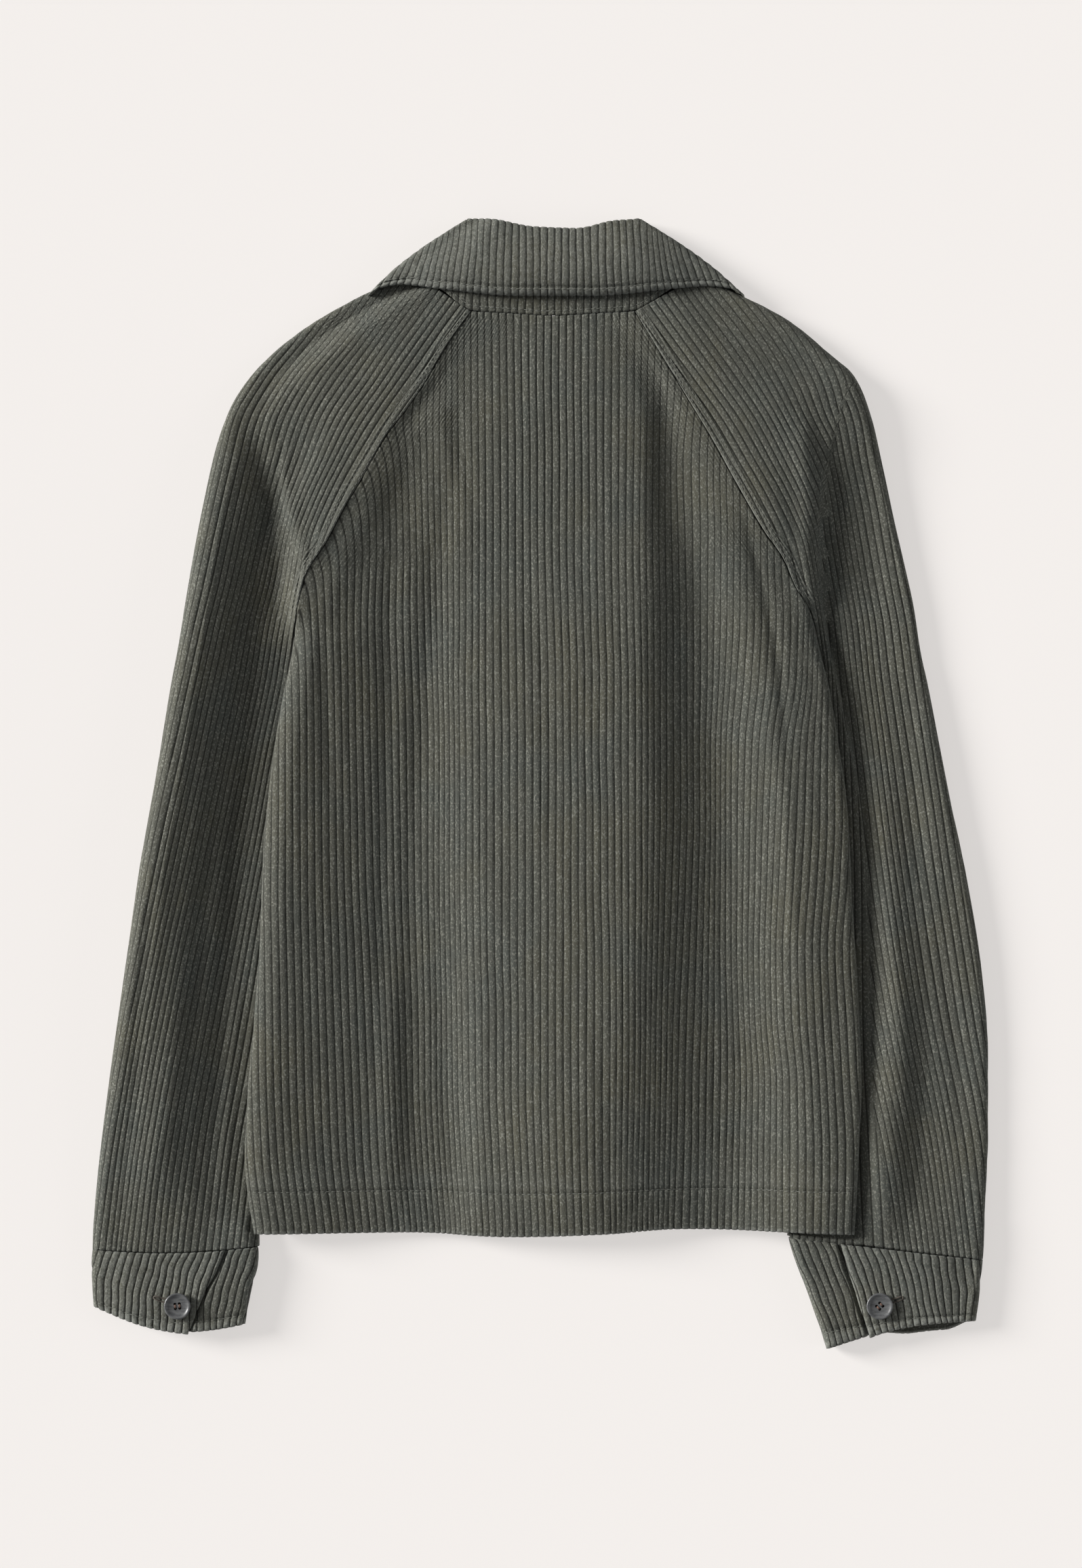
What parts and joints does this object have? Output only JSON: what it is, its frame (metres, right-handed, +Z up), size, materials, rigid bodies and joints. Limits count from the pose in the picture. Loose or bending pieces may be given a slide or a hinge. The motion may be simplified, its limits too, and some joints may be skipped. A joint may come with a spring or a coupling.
{
  "type": "corduroy jacket",
  "caption": "Short raglan-sleeved jacket in wide-wale corduroy with a turned-down collar, buttoned cuffs and a stitched hem, laid flat with its back up.",
  "frame": {"origin": "centre of the footprint of the laid-out jacket, on the surface it lies on", "axes": "+Y from the hem to the collar, +Z up out of the back, +X towards the wearer's right sleeve"},
  "size_m": [0.6086, 0.7688, 0.0242],
  "materials": {
    "corduroy": "ribbed cotton pile, matt with a soft sheen on the wales",
    "button_horn": "polished dark grey with a raised rim"
  },
  "bodies": {
    "root": {"back": "corduroy", "front_left": "corduroy", "front_right": "corduroy", "sleeve_left": "corduroy", "sleeve_right": "corduroy", "cuff_left": "corduroy", "cuff_right": "corduroy", "collar_stand": "corduroy", "collar_leaf": "corduroy", "cuff_button_left": "button_horn", "cuff_button_right": "button_horn", "front_button_1": "button_horn", "front_button_2": "button_horn", "front_button_3": "button_horn", "front_button_4": "button_horn", "front_button_5": "button_horn"}
  },
  "joints": []
}
